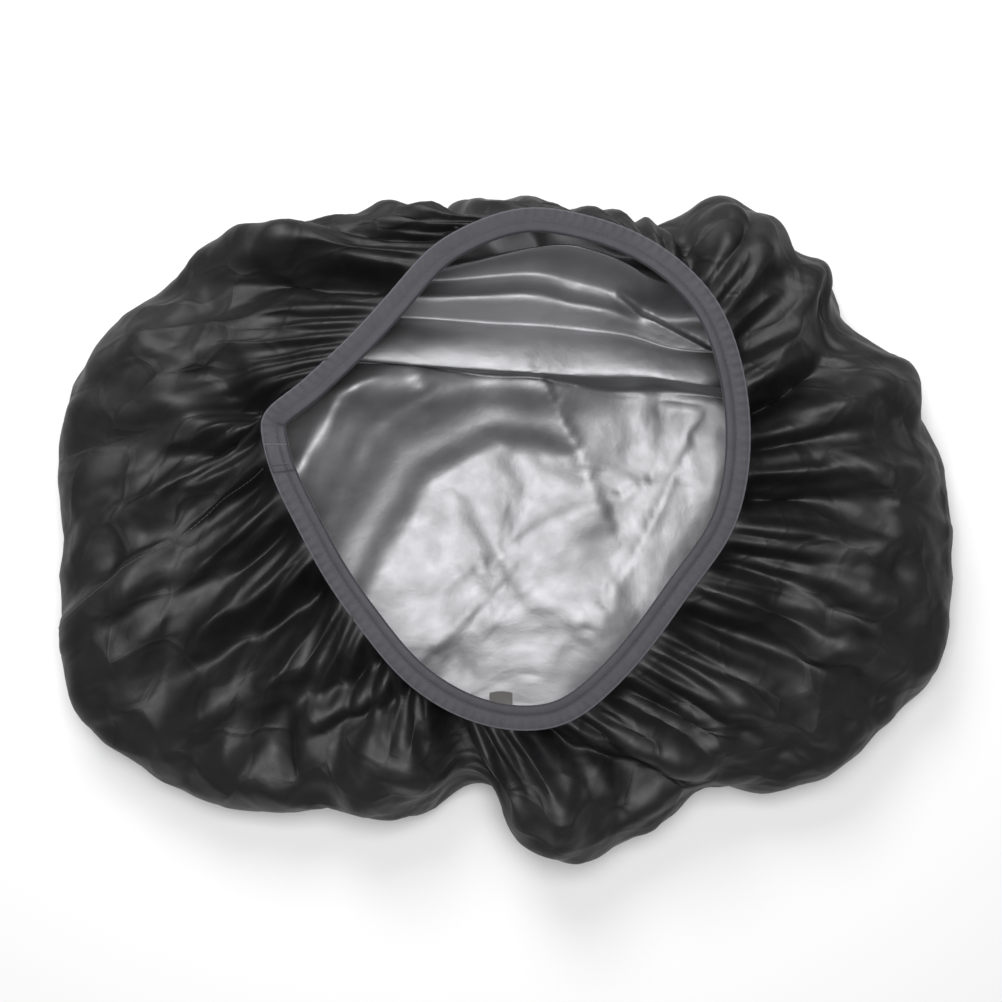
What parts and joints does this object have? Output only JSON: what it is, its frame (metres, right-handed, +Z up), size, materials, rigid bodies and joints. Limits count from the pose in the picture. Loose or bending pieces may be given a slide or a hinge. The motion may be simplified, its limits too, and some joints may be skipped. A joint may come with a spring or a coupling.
{
  "type": "spare tire cover",
  "caption": "Soft spare tire cover in coated cloth, lying open on its face, with a gathered elastic mouth, a bound edge and a care label.",
  "frame": {"origin": "under the middle of the cover's outline, on the surface it lies on", "axes": "+Z up out of the mouth; +Y towards the side where the band stands steepest behind the fold; +X to the right, with the band's join on the -X side"},
  "size_m": [0.8117, 0.574, 0.123],
  "materials": {
    "outer_cloth": "black coated polyester, soft gloss",
    "lining": "silver coating on the inside of the cloth, satin",
    "binding": "dark grey woven tape",
    "elastic": "braided elastic",
    "thread": "polyester sewing thread",
    "label": "printed satin ribbon, drawn blank"
  },
  "bodies": {
    "cover": {"face_panel": "lining", "band_panel": "outer_cloth", "band_join_stitches": "thread", "face_seam_needle_row": "thread", "face_seam_bobbin_row": "thread"},
    "mouth": {"binding_tape": "binding", "binding_lap": "binding", "elastic": "elastic", "binding_needle_row": "thread", "binding_bobbin_row": "thread", "bar_tack": "thread", "label_thread": "thread"},
    "label": {"care_label": "label"}
  },
  "joints": [
    {"name": "mouth_lift", "type": "slide", "parent": "cover", "child": "mouth", "axis": [0, 0, 1], "range_m": [0, 0.1], "deforming": ["band_panel", "band_join_stitches"]},
    {"name": "label_flap", "type": "hinge", "parent": "mouth", "child": "label", "pos_m": [-0.002, -0.159, 0.1153], "axis": [1, 0, 0], "range_deg": [-50, 70]}
  ]
}
